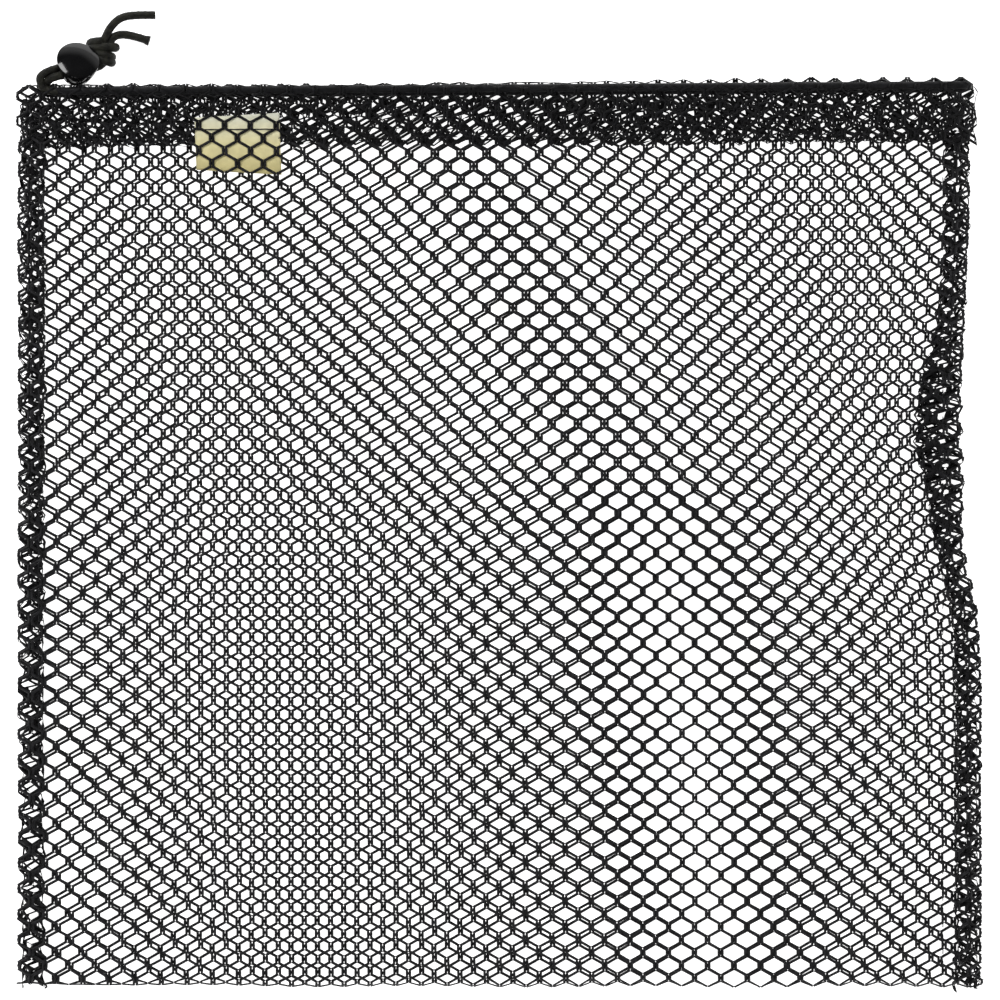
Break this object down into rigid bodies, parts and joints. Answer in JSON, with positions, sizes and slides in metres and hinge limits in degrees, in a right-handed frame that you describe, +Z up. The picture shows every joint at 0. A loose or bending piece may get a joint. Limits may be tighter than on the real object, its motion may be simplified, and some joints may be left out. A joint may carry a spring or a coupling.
{
  "type": "mesh laundry bag",
  "caption": "Flat drawstring laundry bag of black hexagonal netting, with a hemmed mouth, a cord through the hem, a sprung cord lock and a small blank label.",
  "frame": {"origin": "under the middle of the flat bag, on the surface that it lies on", "axes": "+Z up out of that surface, +Y towards the bag's mouth, +X towards the side away from the cord lock"},
  "size_m": [0.388, 0.3919, 0.0171],
  "materials": {
    "black_netting": "matte warp-knit polyester netting",
    "black_cord": "round braided cord",
    "black_lock_plastic": "polished black plastic",
    "spring_steel": "bright spring wire",
    "label_cloth": "plain woven label cloth",
    "black_thread": "matte sewing thread"
  },
  "bodies": {
    "bag": {"net_back": "black_netting", "net_front": "black_netting", "net_fold": "black_netting", "hem_back": "black_netting", "hem_front": "black_netting", "seam_left": "black_netting", "seam_right": "black_netting", "drawcord": "black_cord", "cord_end_front": "black_cord", "cord_end_back": "black_cord", "cord_knot": "black_cord", "cord_tail_upper": "black_cord", "cord_tail_lower": "black_cord", "label": "label_cloth", "label_stitching": "black_thread", "hem_stitching_front": "black_thread", "hem_stitching_back": "black_thread", "side_stitching_left": "black_thread", "side_stitching_right": "black_thread"},
    "lock": {"lock_barrel": "black_lock_plastic", "lock_spring": "spring_steel"},
    "plunger": {"lock_plunger": "black_lock_plastic"}
  },
  "joints": [
    {"name": "lock_slide", "type": "slide", "parent": "bag", "child": "lock", "axis": [-0.8933, -0.2533, 0.3712], "range_m": [0, 0.0024]},
    {"name": "lock_press", "type": "slide", "parent": "lock", "child": "plunger", "axis": [0.2347, 0.4415, 0.866], "range_m": [0, 0.0018], "stiffness_N_per_m": 900, "springref_m": -0.004, "deforming": ["lock_spring"]}
  ]
}
